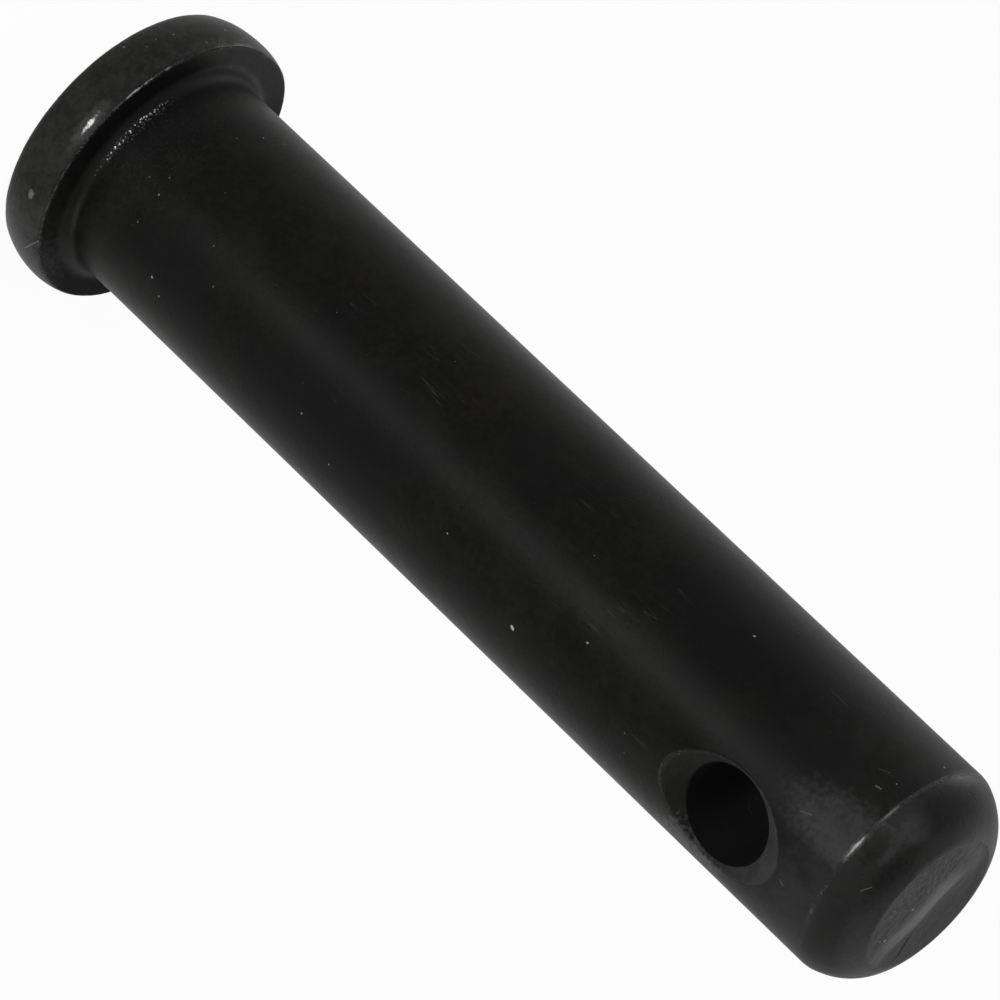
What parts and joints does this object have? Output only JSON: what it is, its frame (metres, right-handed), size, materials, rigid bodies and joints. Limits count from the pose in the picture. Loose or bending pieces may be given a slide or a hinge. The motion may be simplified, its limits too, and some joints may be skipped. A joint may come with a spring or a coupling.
{
  "type": "clevis pin",
  "caption": "Round pin with a flat, bulged head, a rounded end and one countersunk cross hole for a cotter pin or spring clip; it hinges a clevis to an eye.",
  "frame": {"origin": "centre of the head's flat outer face, on which the pin stands", "axes": "+Z runs along the shank from the head to the cut end, and the cross hole runs along X"},
  "size_m": [0.016, 0.016, 0.0585],
  "materials": {
    "black_oxide_steel": "satin"
  },
  "bodies": {
    "root": {"clevis_pin": "black_oxide_steel"}
  },
  "joints": []
}
